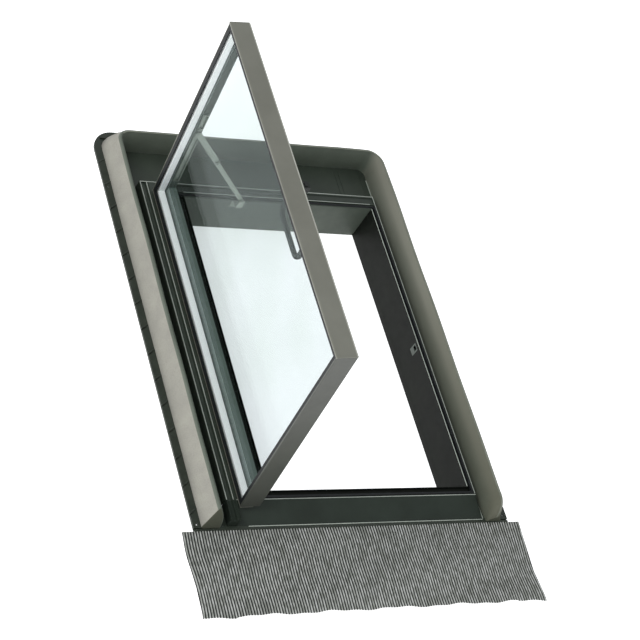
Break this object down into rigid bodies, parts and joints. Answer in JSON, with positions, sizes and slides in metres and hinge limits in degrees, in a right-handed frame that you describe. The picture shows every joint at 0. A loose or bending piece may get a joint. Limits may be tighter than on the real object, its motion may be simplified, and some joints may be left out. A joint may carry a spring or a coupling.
{
  "type": "roof skylight",
  "caption": "Side-hung roof exit skylight standing open on a folding stay, with its frame lining, flashing tray, foam collar and pleated apron.",
  "frame": {"origin": "centre of the four fixing holes, on the underside of the flashing", "axes": "+X runs across the roof from the hinged side to the lock side, +Y runs up the slope, +Z points out of the roof; the sash is open at rest"},
  "size_m": [0.776, 1.143, 0.6206],
  "materials": {
    "lining": "satin lacquer",
    "frame_dark": "satin lacquer",
    "seal": "matte",
    "flashing": "satin lacquer",
    "collar": "satin lacquer",
    "foam": "matte closed-cell foam",
    "apron": "satin lacquer on pleated sheet",
    "zinc": "galvanised",
    "core": "satin lacquer",
    "cladding": "satin lacquer",
    "glass": "clear",
    "spacer": "satin",
    "handle": "fine texture"
  },
  "bodies": {
    "frame": {"jamb_hinge_side": "lining", "jamb_lock_side": "lining", "head_board": "lining", "sill_board": "lining", "hinge_shelf": "frame_dark", "head_shelf": "frame_dark", "rim_seal": "seal", "flashing_left": "flashing", "flashing_right": "flashing", "flashing_head": "flashing", "flashing_sill": "flashing", "edge_strip_left": "flashing", "edge_strip_right": "flashing", "edge_strip_head": "flashing", "collar_sheet": "collar", "foam_left": "foam", "foam_head": "foam", "foam_right": "foam", "apron": "apron", "apron_seam": "flashing", "hinge_leaf_frame_upper": "zinc", "hinge_leaf_frame_lower": "zinc", "hinge_pin_upper": "zinc", "hinge_pin_lower": "zinc", "hinge_screws_frame": "zinc", "stay_bracket": "zinc", "stay_bracket_screws": "zinc", "stay_pin": "zinc", "keep_plate": "zinc"},
    "sash": {"hinge_leaf_sash_upper": "zinc", "hinge_leaf_sash_lower": "zinc", "sash_stile_hinge": "core", "sash_stile_lock": "core", "sash_rail_head": "core", "sash_rail_sill": "core", "cladding_hinge": "cladding", "cladding_lock": "cladding", "cladding_head": "cladding", "cladding_sill": "cladding", "handle_base": "handle", "handle_screws": "zinc", "handle_pin": "zinc", "hinge_screws_sash": "zinc", "stay_channel": "zinc", "stay_shoe": "zinc", "glazing_seal": "seal", "outer_pane": "glass", "glass_spacer": "spacer", "inner_pane": "glass"},
    "stay_lower": {"stay_lower_link": "zinc"},
    "stay_upper": {"stay_upper_link": "zinc", "stay_elbow_rivet": "zinc"},
    "handle": {"handle_bow": "handle"},
    "bolt": {"latch_bolt": "zinc"}
  },
  "joints": [
    {"name": "sash_hinge", "type": "hinge", "parent": "frame", "child": "sash", "pos_m": [-0.2265, 0, 0.0338], "axis": [0, 1, 0], "range_deg": [0, 95]},
    {"name": "stay_lower_turn", "type": "hinge", "parent": "frame", "child": "stay_lower", "pos_m": [-0.0645, 0.357, 0.0393], "axis": [0, 1, 0], "range_deg": [0, 132.96]},
    {"name": "stay_upper_turn", "type": "hinge", "parent": "sash", "child": "stay_upper", "pos_m": [-0.24993, 0.36, 0.23854], "axis": [0, 1, 0], "range_deg": [-142.06, 0]},
    {"name": "handle_turn", "type": "hinge", "parent": "sash", "child": "handle", "pos_m": [-0.25701, -0.036, 0.51447], "axis": [0, 1, 0], "range_deg": [0, 10]},
    {"name": "bolt_slide", "type": "slide", "parent": "sash", "child": "bolt", "axis": [-0.0872, 0, 0.9962], "range_m": [0, 0.006]}
  ],
  "couplings": [
    {"joint": "stay_lower_turn", "follows": "sash_hinge", "ratio": 1.3994},
    {"joint": "stay_upper_turn", "follows": "sash_hinge", "ratio": -1.4953},
    {"joint": "bolt_slide", "follows": "handle_turn", "m_per_rad": 0.0343}
  ]
}
